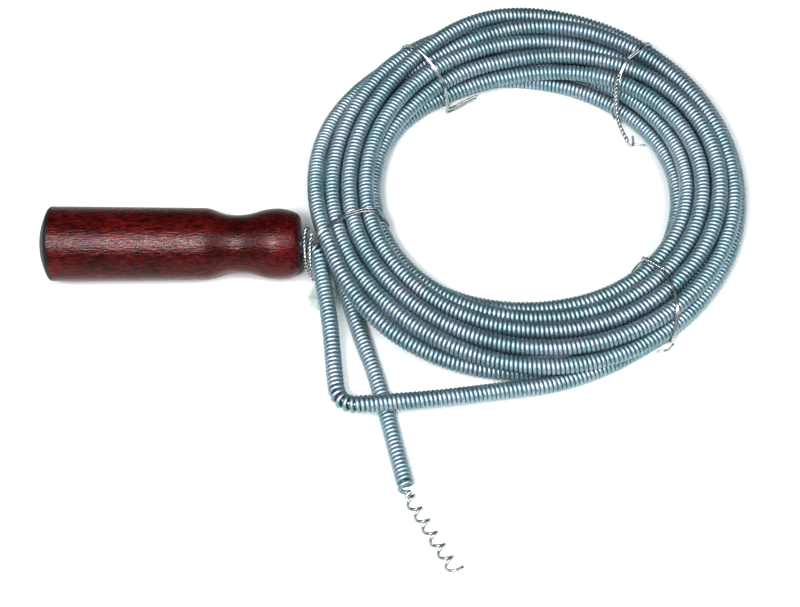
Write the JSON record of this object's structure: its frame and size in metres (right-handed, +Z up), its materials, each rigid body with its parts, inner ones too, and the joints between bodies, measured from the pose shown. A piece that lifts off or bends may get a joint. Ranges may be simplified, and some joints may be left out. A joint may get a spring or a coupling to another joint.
{
  "type": "drain auger",
  "caption": "Hand drain auger: coiled spring cable tied with wire, corkscrew tip, and a turned wooden handle that spins on a cranked rod.",
  "frame": {"origin": "on the floor, below the middle of the handle", "axes": "+X along the handle towards the cable, +Z up from the floor, +Y to the left of the handle"},
  "size_m": [0.3354, 0.2965, 0.035],
  "materials": {
    "stained_wood": "mahogany stain under satin varnish",
    "dark_steel": "dark oxide, satin",
    "rod_steel": "plain drawn steel",
    "spring_steel": "bright zinc plated spring wire",
    "tip_steel": "bright zinc plated wire",
    "tie_steel": "galvanised soft wire",
    "clear_plastic": "clear soft plastic"
  },
  "bodies": {
    "cable": {"crank_rod": "rod_steel", "cable_crank": "spring_steel", "cable_coil": "spring_steel", "cable_tail": "spring_steel", "corkscrew_tip": "tip_steel", "tie_wire_1": "tie_steel", "tie_wire_2": "tie_steel", "tie_wire_3": "tie_steel", "tie_wire_4": "tie_steel", "clear_tag": "clear_plastic"},
    "handle": {"handle_grip": "stained_wood", "butt_cap": "dark_steel"}
  },
  "joints": [
    {"name": "handle_spin", "type": "hinge", "parent": "cable", "child": "handle", "pos_m": [0, 0, 0.0175], "axis": [1, 0, 0], "continuous": true}
  ]
}
